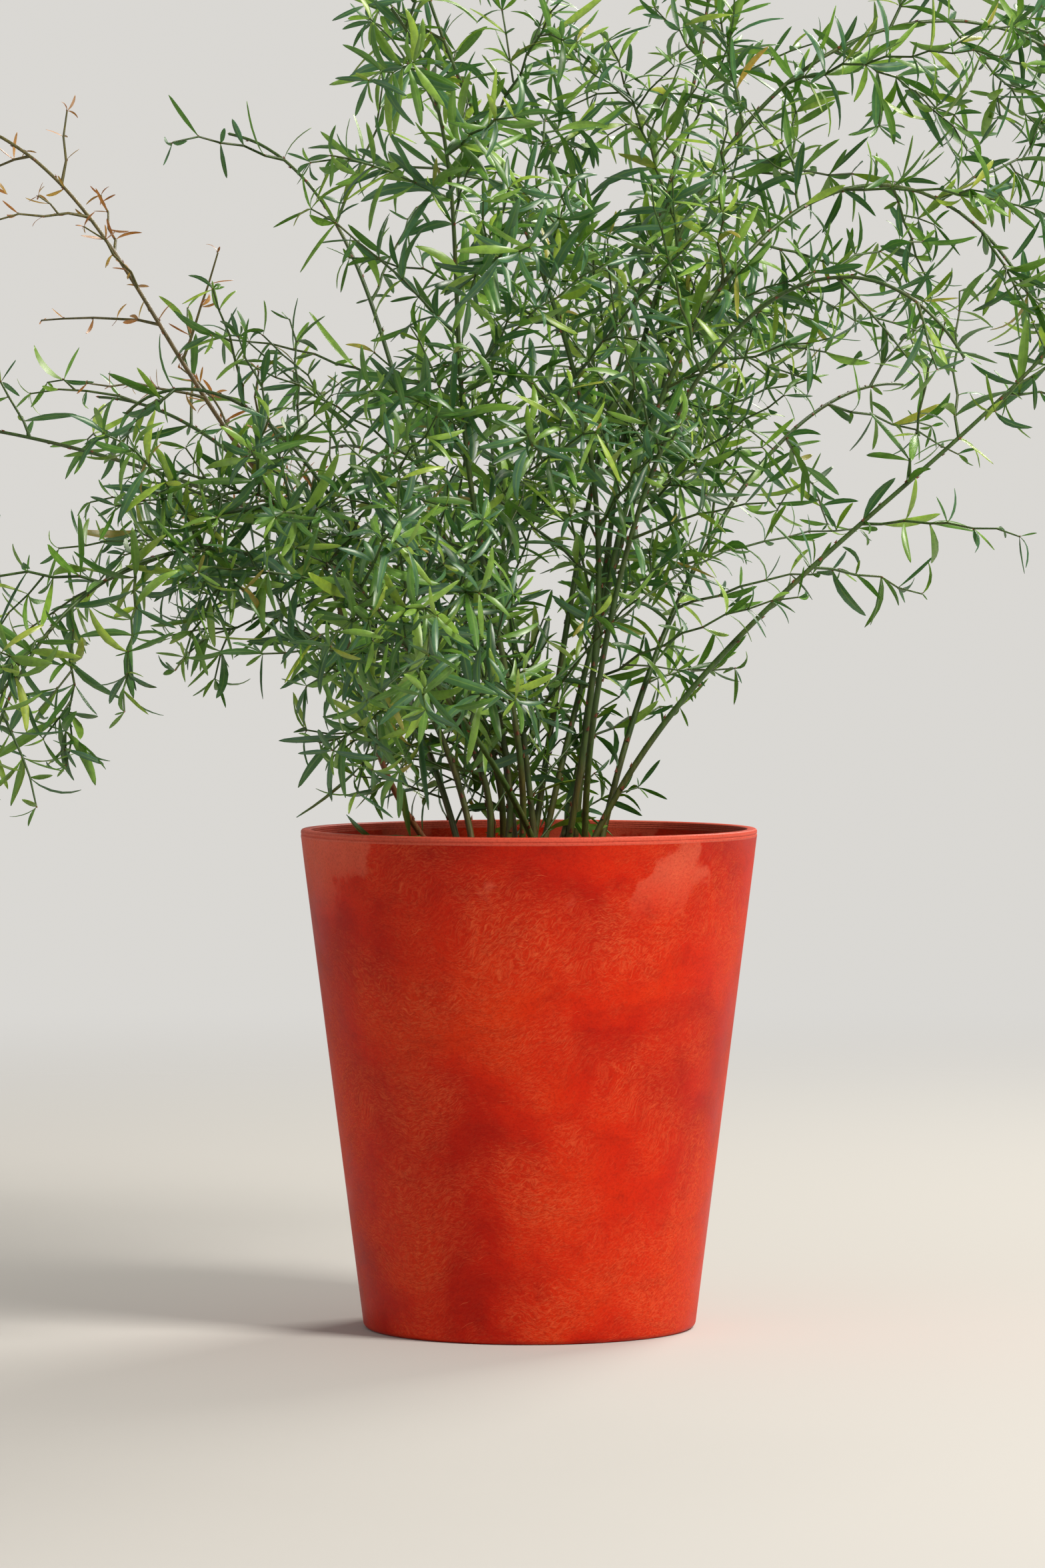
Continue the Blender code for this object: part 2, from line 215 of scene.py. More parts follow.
def arc(centre_r, centre_z, radius, start, end, points):
    angles = [math.radians(start + (end - start) * i / (points - 1)) for i in range(points)]
    return [(centre_r + radius * math.cos(a), centre_z + radius * math.sin(a)) for a in angles]


def face_outward(bm):
    bmesh.ops.recalc_face_normals(bm, faces=bm.faces)
    if bm.calc_volume(signed=True) < 0:
        bmesh.ops.reverse_faces(bm, faces=bm.faces)


def finished(name, bm, material, sharp):
    """The named object of a closed mesh, in the scene, its faces pointing out."""
    face_outward(bm)
    obj = as_object(name, bm, in_scene=True)
    obj.data.materials.append(material)
    obj.data.shade_smooth()
    obj.data.set_sharp_from_angle(angle=math.radians(sharp))
    return obj


def spun(outline, steps):
    """A mesh turned about the vertical axis. Its outline starts and ends on the axis."""
    bm = bmesh.new()
    corners = [bm.verts.new((r, 0, z)) for r, z in outline]
    edges = [bm.edges.new(pair) for pair in zip(corners, corners[1:])]
    bmesh.ops.spin(
        bm, geom=corners + edges, cent=(0, 0, 0), axis=(0, 0, 1), angle=math.tau, steps=steps, use_merge=True
    )
    bmesh.ops.remove_doubles(bm, verts=bm.verts, dist=1e-6)
    return bm


def wall_radius(z):
    return pot_base + z * math.tan(pot_taper)


def rgb(red, green, blue):
    """A colour given as it looks, on a scale to 255, as the light it holds."""
    parts = [c / 255 for c in (red, green, blue)]
    return tuple(c / 12.92 if c <= 0.04045 else ((c + 0.055) / 1.055) ** 2.4 for c in parts) + (1,)


def ramp(tree, factor, stops):
    """A colour ramp with its stops as (position, colour)."""
    node = place(tree, "ShaderNodeValToRGB", {0: factor})
    while len(node.color_ramp.elements) < len(stops):
        node.color_ramp.elements.new(0.5)
    for element, (position, color) in zip(node.color_ramp.elements, stops):
        element.position, element.color = position, color
    return node.outputs[0]


def grey(value):
    return (value, value, value, 1)


def blend(tree, factor, a, b):
    """Mixes two colours."""
    return place(tree, "ShaderNodeMix", {0: factor, 6: a, 7: b}, data_type="RGBA").outputs[2]


def calc(tree, operation, a, b=0.0, clamp=False):
    return made(tree, "ShaderNodeMath", {0: a, 1: b}, operation=operation, use_clamp=clamp)


def times(tree, a, b):
    return calc(tree, "MULTIPLY", a, b)


def plus(tree, a, b):
    return calc(tree, "ADD", a, b)


def node_group(name, kind, inputs, outputs):
    """A new group of nodes: its tree, what it is given and what it puts out, each by name."""
    tree = bpy.data.node_groups.new(name, kind)
    for way, sockets in (("INPUT", inputs), ("OUTPUT", outputs)):
        for label, sort in sockets.items():
            tree.interface.new_socket(label, in_out=way, socket_type="NodeSocket" + sort)
    return tree, tree.nodes.new("NodeGroupInput").outputs, tree.nodes.new("NodeGroupOutput").inputs


def with_effect(tree, group, values):
    """Places an effect in a material with its own values, and gives its outputs."""
    return place(tree, "ShaderNodeGroup", values, node_tree=group).outputs


def grain_effect():
    """Cloudy grain, from 0 to 1, and the relief that it gives a surface."""
    tree, given, out = node_group(
        "grain", "ShaderNodeTree",
        {
            "Where": "Vector", "Scale": "Float", "Detail": "Float", "Roughness": "Float",
            "Relief": "Float", "Depth": "Float",
        },
        {"Grain": "Float", "Normal": "Vector"},
    )
    cloud = place(
        tree, "ShaderNodeTexNoise",
        {
            "Vector": given["Where"], "Scale": given["Scale"], "Detail": given["Detail"],
            "Roughness": given["Roughness"],
        },
    ).outputs["Fac"]
    bump = made(
        tree, "ShaderNodeBump", {"Height": cloud, "Strength": given["Relief"], "Distance": given["Depth"]}
    )
    tree.links.new(cloud, out["Grain"])
    tree.links.new(bump, out["Normal"])
    return tree


grain_group = grain_effect()


def pot_material():
    material, tree, shader, where = blank_material("moulded_terracotta")
    height = place(tree, "ShaderNodeSeparateXYZ", {0: where}).outputs["Z"]

    def cloud(scale, detail, roughness, at=where):
        values = {"Where": at, "Scale": scale, "Detail": detail, "Roughness": roughness}
        return with_effect(tree, grain_group, values)["Grain"]

    # the filler flows round the wall in waves, which carry its fibres up and down
    wave = times(tree, calc(tree, "SUBTRACT", cloud(15.0, 2.0, 0.5), 0.5), 0.045)
    ripple = times(tree, calc(tree, "SUBTRACT", cloud(90.0, 2.0, 0.5), 0.5), 0.009)
    lift = made(tree, "ShaderNodeCombineXYZ", {2: plus(tree, wave, ripple)})
    flow = made(tree, "ShaderNodeVectorMath", {0: where, 1: lift}, operation="ADD")
    slanted = made(
        tree, "ShaderNodeMapping", {"Vector": flow, "Rotation": (math.radians(-24), math.radians(28), 0)}
    )

    def fibres(along, across, detail, lie=flow):
        """Strokes that lie round the wall, with their number to the metre along and across them."""
        lie = made(tree, "ShaderNodeMapping", {"Vector": lie, "Scale": (along, along, across)})
        return cloud(1.0, detail, 0.62, lie)

    clouds, patches = cloud(15.0, 4.0, 0.55, flow), cloud(27.0, 6.0, 0.60, flow)
    color = ramp(
        tree, clouds,
        [(0.32, rgb(162, 13, 0)), (0.43, rgb(184, 21, 0)), (0.54, rgb(203, 32, 0)), (0.68, rgb(212, 45, 0))],
    )

    # smooth dark drifts with few fibres, and pale cloudy ones thick with them
    furry = ramp(tree, patches, [(0.40, grey(0.12)), (0.50, grey(0.5)), (0.62, grey(1))])
    broad = ramp(tree, fibres(330, 1500, 3.0), [(0.48, grey(0)), (0.60, grey(0.6)), (0.70, grey(1))])
    fine = ramp(tree, fibres(430, 2300, 3.0, slanted), [(0.50, grey(0)), (0.61, grey(0.7)), (0.70, grey(1))])
    stray = ramp(tree, fibres(70, 1300, 2.0, slanted), [(0.68, grey(0)), (0.74, grey(1))])
    fibre = calc(tree, "MAXIMUM", times(tree, broad, 0.75), fine)
    fibre = calc(tree, "MAXIMUM", times(tree, fibre, furry), times(tree, stray, 0.8))
    smear = ramp(tree, fibres(60, 130, 3.0), [(0.32, grey(0.26)), (0.50, grey(0))])
    color = blend(tree, smear, color, rgb(132, 6, 0))
    color = blend(tree, times(tree, furry, 0.28), color, rgb(212, 60, 16))
    color = blend(tree, times(tree, fibre, 0.46), color, rgb(238, 114, 66))

    # the skin is paler in islands under the lip, where the filler gathers, and on the lip itself
    top = made(
        tree, "ShaderNodeMapRange",
        {0: height, 1: pot_height - 0.034, 2: pot_height - 0.012, 3: 0.0, 4: 1.0},
    )
    island = ramp(tree, cloud(19.0, 5.0, 0.55), [(0.52, grey(0)), (0.545, grey(0.8)), (0.66, grey(1))])
    island = times(tree, top, island)
    color = blend(tree, times(tree, island, 0.50), color, rgb(226, 112, 84))
    lip = calc(tree, "GREATER_THAN", height, pot_height - lip_height)
    color = blend(tree, times(tree, lip, 0.6), color, rgb(226, 108, 86))

    # turning lines round the lip, two shades
    lines = calc(tree, "SINE", times(tree, height, math.tau / 0.0008))
    lines = times(tree, plus(tree, times(tree, lines, 0.5), 0.5), lip)
    color = blend(tree, times(tree, lines, 0.30), color, rgb(170, 48, 32))
    grain = cloud(1100.0, 3.0, 0.7)
    color = blend(tree, ramp(tree, grain, [(0.36, grey(0.25)), (0.52, grey(0))]), color, rgb(122, 8, 0))
    tree.links.new(color, shader.inputs["Base Color"])

    # satin: the smooth drifts shine more than the furry ones
    rough = plus(tree, times(tree, furry, 0.14), 0.36)
    rough = plus(tree, rough, times(tree, fibre, 0.12))
    tree.links.new(rough, shader.inputs["Roughness"])
    relief = plus(tree, times(tree, grain, 0.35), times(tree, fibre, 0.6))
    relief = calc(tree, "SUBTRACT", relief, times(tree, lines, 0.5))
    relief = plus(tree, relief, times(tree, island, 0.6))
    bump = place(tree, "ShaderNodeBump", {"Height": relief, "Strength": 0.40, "Distance": 0.0003})
    tree.links.new(bump.outputs[0], shader.inputs["Normal"])
    shader.inputs["Specular IOR Level"].default_value = 0.13
    return material


edge_r = wall_radius(base_edge) - base_edge / math.cos(pot_taper)
lip_in = pot_top - pot_wall
line_z = pot_height - line_below_top
outline = [(0, 0), (edge_r * 0.5, 0)]
outline += arc(edge_r, base_edge, base_edge, -90, -math.degrees(pot_taper), 8)
outline += [(wall_radius(pot_height * k / 16), pot_height * k / 16) for k in range(1, 16)]
outline += [(pot_top - lip_step, pot_height - lip_height - 2 * lip_step), (pot_top, pot_height - lip_height)]
outline += [(pot_top, line_z - line_depth), (pot_top - line_depth, line_z), (pot_top, line_z + line_depth)]
outline += arc(pot_top - lip_outer, pot_height - lip_outer, lip_outer, 0, 90, 7)
outline += arc(lip_in + lip_inner, pot_height - lip_inner, lip_inner, 90, 180, 6)
outline += [(lip_in, pot_height - lip_height)]
outline += [(wall_radius(z) - pot_wall, z) for z in (pot_height * 0.7, pot_height * 0.35)]
outline += [(wall_radius(pot_floor + floor_corner) - pot_wall, pot_floor + floor_corner)]
outline += [(wall_radius(pot_floor) - pot_wall - floor_corner, pot_floor), (0, pot_floor)]
pot = finished("moulded_pot", spun(outline, pot_steps), pot_material(), sharp=40)

# the drainage holes go right through the floor
bm = bmesh.new()
for k in range(hole_count):
    turn = Matrix.Rotation(math.tau * (k + 0.5) / hole_count, 4, "Z")
    bmesh.ops.create_cone(
        bm, cap_ends=True, segments=hole_sides, radius1=hole_radius, radius2=hole_radius, depth=pot_floor * 2,
        matrix=turn @ Matrix.Translation((hole_ring, 0, pot_floor / 2)),
    )
cutter = as_object("drain_cutter", bm, in_scene=True)
cut = pot.modifiers.new("drain_holes", "BOOLEAN")
cut.object, cut.operation = cutter, "DIFFERENCE"
shaped = bpy.data.meshes.new_from_object(pot.evaluated_get(bpy.context.evaluated_depsgraph_get()))
pot.modifiers.clear()
pot.data = shaped
bpy.data.objects.remove(cutter)
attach(pot, "root")
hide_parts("pot")


# ---- Potting mix: dark peat with bark and a little pumice, filled in to below the lip and pressed down to a
# low dome round the rootstock. It is lumpy on top, with loose crumbs and flat chips lying on it.

soil_low, soil_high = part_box("soil")
crown_low, crown_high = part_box("root_crown")
soil_edge_drop = 0.003
soil_lumps = 0.0016
crown_radius = crown_high.x
# the air left between pieces that only touch
gap = 0.0003
crumbs_per_square_metre = 210000.0
crumb_kinds, smallest_crumb, crumb_growth = 7, 0.0007, 0.00028
least_crumb_share, most_crumb_share = 0.35, 1.25


def grainy_material(name, grain, colors, roughness, shine):
    """Dull matter, which takes both its colours and its relief from one grain."""
    material, tree, shader, where = blank_material(name)
    fleck = with_effect(tree, grain_group, {"Where": where, **grain})
    tree.links.new(ramp(tree, fleck["Grain"], colors), shader.inputs["Base Color"])
    tree.links.new(fleck["Normal"], shader.inputs["Normal"])
    shader.inputs["Roughness"].default_value = roughness
    shader.inputs["Specular IOR Level"].default_value = shine
    return material


def crumb(number, size, flatness):
    """One crumb or chip: a lumpy ball of a few dozen faces."""
    bm = bmesh.new()
    bmesh.ops.create_icosphere(bm, subdivisions=1, radius=size)
    for v in bm.verts:
        v.co *= 1 + 0.55 * noise.noise(v.co / size * 1.3 + Vector((number * 7.1, 0, 0)))
        v.co.z *= flatness
    return as_object(f"crumb_{number}", bm)


def applied(obj):
    """Turns what an object's modifiers make into its plain mesh."""
    graph = bpy.context.evaluated_depsgraph_get()
    mesh = bpy.data.meshes.new_from_object(
        obj.evaluated_get(graph), preserve_all_data_layers=True, depsgraph=graph
    )
    obj.modifiers.clear()
    obj.data = mesh


def with_finish(tree, geometry, material):
    return made(tree, "GeometryNodeSetMaterial", {"Geometry": geometry, "Material": material})


def members(tree, collection):
    """The members of a collection, each as a thing of its own."""
    values = {"Collection": collection, "Separate Children": True, "Reset Children": True}
    return made(tree, "GeometryNodeCollectionInfo", values)


def planted(tree, points, kinds, rotation, size):
    """One of the kinds at each point, turned and sized."""
    values = {"Points": points, "Instance": kinds, "Pick Instance": True, "Rotation": rotation, "Scale": size}
    return made(tree, "GeometryNodeInstanceOnPoints", values)


def solid(tree, instances):
    return made(tree, "GeometryNodeRealizeInstances", {0: instances})


def together(tree, *parts):
    whole = place(tree, "GeometryNodeJoinGeometry")
    for part in parts:
        tree.links.new(part, whole.inputs[0])
    return whole.outputs[0]


def scatter_tree():
    """A node tree that strews the members of a collection over a surface, and keeps the surface."""
    tree, given, out = node_group(
        "strewn_crumbs", "GeometryNodeTree",
        {
            "Surface": "Geometry", "Per square metre": "Float", "Smallest": "Float", "Largest": "Float",
            "Crumbs": "Collection", "Material": "Material", "Seed": "Int",
        },
        {"Strewn": "Geometry"},
    )
    normal = made(tree, "GeometryNodeInputNormal")
    height = place(tree, "ShaderNodeSeparateXYZ", {0: normal}).outputs["Z"]
    upward = made(tree, "FunctionNodeCompare", {0: height, 1: 0.6}, operation="GREATER_THAN")
    points = place(
        tree, "GeometryNodeDistributePointsOnFaces",
        {
            "Mesh": given["Surface"], "Selection": upward, "Density": given["Per square metre"],
            "Seed": given["Seed"],
        },
    ).outputs["Points"]
    spin = made(
        tree, "FunctionNodeRandomValue", {0: (0, 0, 0), 1: (6.28, 6.28, 6.28), "Seed": given["Seed"]},
        data_type="FLOAT_VECTOR",
    )
    size = place(
        tree, "FunctionNodeRandomValue", {2: given["Smallest"], 3: given["Largest"], "Seed": given["Seed"]}
    ).outputs[1]
    strewn = solid(tree, planted(tree, points, members(tree, given["Crumbs"]), spin, size))
    whole = together(tree, given["Surface"], strewn)
    tree.links.new(with_finish(tree, whole, given["Material"]), out["Strewn"])
    return tree


def run_tree(obj, tree, values):
    """Runs a node tree on an object, with its named inputs set, and keeps what it makes as a plain mesh."""
    modifier = obj.modifiers.new(tree.name, "NODES")
    modifier.node_group = tree
    for item in tree.interface.items_tree:
        if item.item_type == "SOCKET" and item.in_out == "INPUT" and item.name in values:
            modifier[item.identifier] = values[item.name]
    applied(obj)


soil_radius = soil_high.x
ring_count = 22
outline = [(0, soil_low.z), (wall_radius(pot_floor) - pot_wall - floor_corner - gap, soil_low.z)]
outline += [(wall_radius(pot_floor + floor_corner) - pot_wall - 2 * gap, pot_floor + floor_corner + gap)]
rim_z = soil_high.z - soil_edge_drop
outline += [(soil_radius * (rim_z - 0.012) / rim_z, rim_z - 0.012)]
for k in range(ring_count):
    r = soil_radius + (crown_radius + gap - soil_radius) * k / (ring_count - 1)
    outline.append((r, rim_z + soil_edge_drop * k / (ring_count - 1)))
outline += [(crown_radius + gap, crown_low.z - gap), (0, crown_low.z - gap)]
bm = spun(outline, 120)
for v in bm.verts:
    share = (v.co.xy.length - crown_radius) / (soil_radius - crown_radius)
    if v.co.z > rim_z - 0.001 and 0.02 < share < 0.995:
        settled = min(1, 8 * min(share, 1 - share) + 0.2)
        v.co.z += soil_lumps * noise.fractal(v.co * 140, 1.0, 2.0, 4) * settled
soil_mix = grainy_material(
    "potting_mix", {"Scale": 260.0, "Detail": 6.0, "Roughness": 0.75, "Relief": 0.7, "Depth": 0.001},
    [(0.32, rgb(24, 17, 12)), (0.50, rgb(48, 34, 24)), (0.62, rgb(78, 56, 38)), (0.74, rgb(112, 84, 58))],
    roughness=0.95, shine=0.25,
)
soil = finished("potting_mix", bm, soil_mix, sharp=60)
crumbs = bpy.data.collections.new("crumbs")
for k in range(crumb_kinds):
    crumbs.objects.link(crumb(k, smallest_crumb + crumb_growth * k, 0.9 - 0.07 * k))
run_tree(
    soil, scatter_tree(),
    {
        "Per square metre": crumbs_per_square_metre, "Smallest": least_crumb_share,
        "Largest": most_crumb_share, "Crumbs": crumbs, "Material": soil_mix, "Seed": 4,
    },
)
for loose in list(crumbs.objects):
    bpy.data.objects.remove(loose)
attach(soil, "root")
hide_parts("soil")


# ---- Rootstock: the woody crown that every stem grows from, sunk in the mix so that only its low dome shows.
# Its bark is brown and cracked, and knobbly with the stubs and scales of earlier stems.

# bumps in the bark: how many to the metre, and how far each cuts in
stubs_per_metre, stub_depth = 120, 0.0030
cracks_per_metre, crack_depth = 330, 0.0010
crown_rise = crown_high.z - soil_high.z


def crown_top(share):
    """The height of the rootstock at a share of its radius from its middle."""
    return soil_high.z + crown_rise * (1 - share**2)


outline = [(0, crown_low.z)] + [(crown_radius, crown_low.z + 0.003 * k) for k in range(4)]
outline += [(crown_radius * (1 - k / 24), crown_top(1 - k / 24)) for k in range(25)]
bm = spun(outline, 96)
for v in bm.verts:
    share = v.co.xy.length / crown_radius
    if v.co.z > soil_high.z - 0.001 and 0.01 < share:
        knobs = abs(noise.noise(v.co * stubs_per_metre)) * stub_depth
        knobs += abs(noise.noise(v.co * cracks_per_metre)) * crack_depth
        v.co.z -= knobs * min(1, 6 * (1 - share) + 0.25)
bark = grainy_material(
    "rootstock_bark", {"Scale": 190.0, "Detail": 7.0, "Roughness": 0.7, "Relief": 0.8, "Depth": 0.0012},
    [(0.34, rgb(40, 26, 16)), (0.48, rgb(82, 58, 36)), (0.60, rgb(122, 92, 60)), (0.74, rgb(158, 128, 90))],
    roughness=0.85, shine=0.5,
)
crown = finished("rootstock", bm, bark, sharp=80)
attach(crown, "root")
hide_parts("root_crown")


# ---- Stems: each is a wiry green or brown stalk that grows from the rootstock, arches over, and carries side
# branches that kink at every joint. The flat blades that pass for leaves, the cladodes, stand in bunches at
# those joints, with a small dry scale at each. A stem and all that grows on it is one piece.

stem_base_radius = 0.0014
stem_tip_radius = 0.0006
stem_flare, flare_height = 1.35, 0.004
stem_steps, heading_steps, branch_steps = 72, 48, 12
branch_radius = 0.00062
branch_tip_radius = 0.00034
# branches: how far they lean from the stem in degrees, how they follow it and sag, and how they go round it
joint_spacing = 0.0095
joint_kink, joint_stray = 0.0008, 0.0004
branch_lift = 52
branch_follow = 0.25
branch_droop = 0.55
roll_step = 137.5
roll_spread = 20
branch_count = 14
branch_last = 0.97
sprig_reach = (0.035, 0.062)
# scales on the stem: their spacing, and their length at the foot and what it loses by the tip
scale_spacing, scale_length, scale_loss = 0.011, 0.0021, 0.0008
branch_scale_length = 0.0009
# clear room that a branch keeps from the frame's box, over the lip, the mix or the floor, and from the wall
edge_room, over_room, wall_room = 0.004, 0.008, 0.014

# root (hundredths of the rootstock's radius, right and back), heading, length in mm, lean from root to tip,
# sideways lean at root and tip, bare share, longest side branch in mm; then fewest and most blades at a
# joint, most twigs on a branch, which branch places it uses (every one or every second), blade length in mm,
# and how many short sprigs it has low down
stems = {
    "frond_front_left_red": ((-76, -35), 212, 215, (53, 29, -36, 122), (6, 8), 0.42, 95, 2, 4, 2, 1, 23.5, 1),
    "frond_front_left_green": ((18, -53), 244, 197, (36, 63, 57, 60), (0, -1), 0.45, 85, 3, 5, 2, 1, 24.5, 0),
    "frond_front_tall": ((-12, -35), 189, 365, (-8, 55, -43, 45), (13, 32), 0.30, 90, 3, 5, 3, 1, 25.5, 0),
    "frond_front_right": ((65, -18), 300, 345, (15, 36, -48, 188), (-12, 38), 0.30, 90, 1, 3, 1, 2, 21.5, 0),
    "frond_left_droop": ((-59, -53), 231, 342, (-9, 51, 95, 182), (-13, -11), 0.34, 95, 2, 4, 3, 1, 23, 5),
    "frond_left_mid": ((-53, -12), 184, 263, (-22, 102, -60, 139), (2, 1), 0.28, 90, 1, 3, 2, 2, 21, 4),
    "frond_left_high": ((-29, 12), 153, 332, (-15, 72, -44, 80), (-1, 1), 0.28, 95, 1, 2, 1, 2, 22, 4),
    "frond_left_young": ((-47, 47), 168, 394, (-15, 122, -49, 90), (3, 1), 0.40, 60, 1, 3, 1, 1, 10.5, 0),
    "frond_left_back": ((-35, 71), 126, 393, (-31, 104, 55, 90), (7, 32), 0.30, 90, 1, 3, 0, 2, 21.5, 7),
    "frond_centre_main": ((41, -12), 223, 369, (1, -20, 61, 9), (13, -12), 0.26, 105, 3, 5, 3, 1, 21, 0),
    "frond_centre_rear": ((12, 29), 46, 229, (13, 18, 34, 15), (-4, 4), 0.20, 110, 2, 4, 2, 1, 20, 1),
    "frond_centre_short": ((10, -5), 95, 195, (2, 6, 14, 30), (6, 4), 0.14, 100, 1, 3, 1, 2, 20, 1),
    "frond_back_tall": ((0, 65), 81, 428, (15, -18, 106, -29), (-7, -9), 0.26, 100, 3, 5, 3, 1, 21.5, 0),
    "frond_back_low": ((-12, 92), 108, 300, (14, 30, 62, 95), (0, 6), 0.20, 105, 2, 3, 1, 2, 20.5, 4),
    "frond_back_left": ((-72, 58), 138, 310, (12, 40, 50, 88), (4, -6), 0.24, 100, 1, 3, 1, 2, 20.5, 4),
    "frond_back_right": ((75, 52), 52, 320, (10, 34, 52, 92), (-5, 5), 0.26, 100, 2, 3, 1, 2, 20.5, 0),
    "frond_right_arch": ((59, 24), 13, 335, (20, 55, 57, 36), (-4, -2), 0.46, 85, 1, 3, 0, 2, 23, 0),
    "frond_right_high": ((29, 59), 25, 507, (21, -10, 10, 157), (7, -13), 0.32, 105, 3, 5, 3, 1, 25, 0),
    "frond_right_droop": ((50, 62), 59, 472, (0, -7, -5, 261), (-5, -36), 0.32, 95, 2, 4, 2, 1, 23, 0),
}


def eased(values, t):
    """A Bezier curve through control values, at t from 0 to 1."""
    n = len(values) - 1
    return sum(v * math.comb(n, i) * t**i * (1 - t) ** (n - i) for i, v in enumerate(values))


class Path:
    """A smooth line that can be asked for its point and direction at any distance along it."""

    def __init__(self, start, headings, length):
        self.length, self.step, self.headings = length, length / len(headings), headings
        self.points, self.sides = [start], []
        side = headings[0].orthogonal().normalized()
        for heading in headings:
            self.points.append(self.points[-1] + heading * self.step)
            side = (side - heading * side.dot(heading)).normalized()
            self.sides.append(side)

    def at(self, distance):
        spot = min(max(distance / self.step, 0), len(self.headings) - 1e-6)
        return self.points[int(spot)].lerp(self.points[int(spot) + 1], spot - int(spot))

    def part(self, distance):
        return min(int(max(distance, 0) / self.step), len(self.headings) - 1)

    def across(self, distance, roll):
        k = self.part(distance)
        return Matrix.Rotation(math.radians(roll), 3, self.headings[k]) @ self.sides[k]


def stem_path(root, towards, length, lean, sway):
    """A stem's line, which leaves the rootstock's dome with its foot just clear of it."""
    out = Vector((math.cos(math.radians(towards)), math.sin(math.radians(towards)), 0))
    side = Vector((-out.y, out.x, 0))
    headings = []
    for i in range(heading_steps):
        t = (i + 0.5) / heading_steps
        tilt, turn = math.radians(eased(lean, t)), math.radians(eased(sway, t))
        upright = out * math.sin(tilt) + Vector((0, 0, math.cos(tilt)))
        headings.append(upright * math.cos(turn) + side * math.sin(turn))
    surface = Vector((root[0] * crown_radius, root[1] * crown_radius, crown_top(Vector(root).length)))
    normal = Vector((root[0], root[1], crown_radius / (2 * crown_rise))).normalized()
    foot = stem_base_radius * stem_flare * headings[0].cross(normal).length
    return Path(surface + normal * (gap + foot), headings, length)


def branch_path(stem, distance, roll, reach):
    """A side branch's line, from a place on a stem's line."""
    along, out = stem.headings[stem.part(distance)], stem.across(distance, roll)
    first = along * math.cos(math.radians(branch_lift)) + out * math.sin(math.radians(branch_lift))
    headings = []
    for i in range(branch_steps):
        t = (i + 0.5) / branch_steps
        sag = Vector((0, 0, branch_droop * t**1.5))
        headings.append((first + along * branch_follow * t - sag).normalized())
    return Path(stem.at(distance), headings, reach)


def branch_places(number, length, bare, reach):
    """Where branches leave a stem: distance along it, turn round it, and their own length."""
    rng = random.Random(number)
    found = []
    for j in range(branch_count):
        t = j / (branch_count - 1)
        distance = length * (bare + (branch_last - bare) * t)
        roll = j * roll_step + rng.uniform(-roll_spread, roll_spread)
        fullness = 0.55 + 0.45 * math.sin(math.pi * min(0.15 + 0.95 * t, 1))
        found.append((distance, roll, reach * fullness * rng.uniform(0.75, 1.0)))
    return found


class Skeleton:
    """The centre lines of one stem and its branches, with what the node tree reads at each joint."""

    def __init__(self):
        self.points, self.edges = [], []
        self.girth, self.buds, self.vigour, self.ripe, self.scale = [], [], [], [], []

    def line(self, points, girths, buds, vigours, ripe, scales):
        first = len(self.points)
        self.points += points
        self.edges += [(first + k, first + k + 1) for k in range(len(points) - 1)]
        self.girth += girths
        self.buds += buds
        self.vigour += vigours
        self.ripe += ripe
        self.scale += scales

    def mesh(self, name):
        mesh = bpy.data.meshes.new(name)
        mesh.from_pydata([tuple(p) for p in self.points], self.edges, [])
        for label, kind, values in (
            ("girth", "FLOAT", self.girth), ("buds", "INT", self.buds),
            ("vigour", "FLOAT", self.vigour), ("ripe", "FLOAT", self.ripe), ("scale", "FLOAT", self.scale),
        ):
            mesh.attributes.new(label, kind, "POINT").data.foreach_set("value", values)
        return mesh


def has_room(point):
    """Whether a branch may pass: inside the frame's box, above the floor, and off the pot and the mix."""
    inside = all(low + edge_room < c < high - edge_room for c, low, high in zip(point, *cad_box))
    radius = math.hypot(point.x, point.y)
    off_wall = point.z > pot_height + over_room or abs(radius - wall_radius(point.z)) > wall_room
    off_mix = point.z > soil_high.z + crown_rise + over_room or radius > pot_top
    return inside and off_wall and off_mix and point.z > wall_room


def add_branch(skeleton, rng, path, girth, fewest, most, twigs):
    """One side branch, kinked a little at each joint, with a few twigs, as far as there is room."""
    count = max(2, int(path.length / joint_spacing))
    sideways = path.across(0, rng.uniform(0, 360))
    points, girths, buds, vigours = [path.at(0)], [girth * 1.15], [0], [1.0]
    for k in range(1, count + 1):
        distance = path.length * (k - rng.uniform(0, 0.25)) / count
        t = distance / path.length
        kink = sideways * joint_kink * (1 if k % 2 else -1)
        kink = kink + path.across(distance, rng.uniform(0, 360)) * joint_stray
        if not has_room(path.at(distance)):
            break
        points.append(path.at(distance) + kink)
        girths.append(girth + (branch_tip_radius - girth) * t)
        buds.append(rng.randint(fewest, most))
        vigours.append(1.08 - 0.45 * t**2)
    if len(points) < 3:
        return
    buds[-1] += 1
    scales = [0.0] + [branch_scale_length] * (len(points) - 1)
    skeleton.line(points, girths, buds, vigours, [0.0] * len(points), scales)
    reached = path.length * (len(points) - 1) / count
    for _ in range(twigs):
        distance = reached * rng.uniform(0.2, 0.75)
        reach = path.length * rng.uniform(0.25, 0.45)
        add_branch(
            skeleton, rng, branch_path(path, distance, rng.uniform(0, 360), reach),
            branch_tip_radius * 1.2, fewest, most, 0,
        )


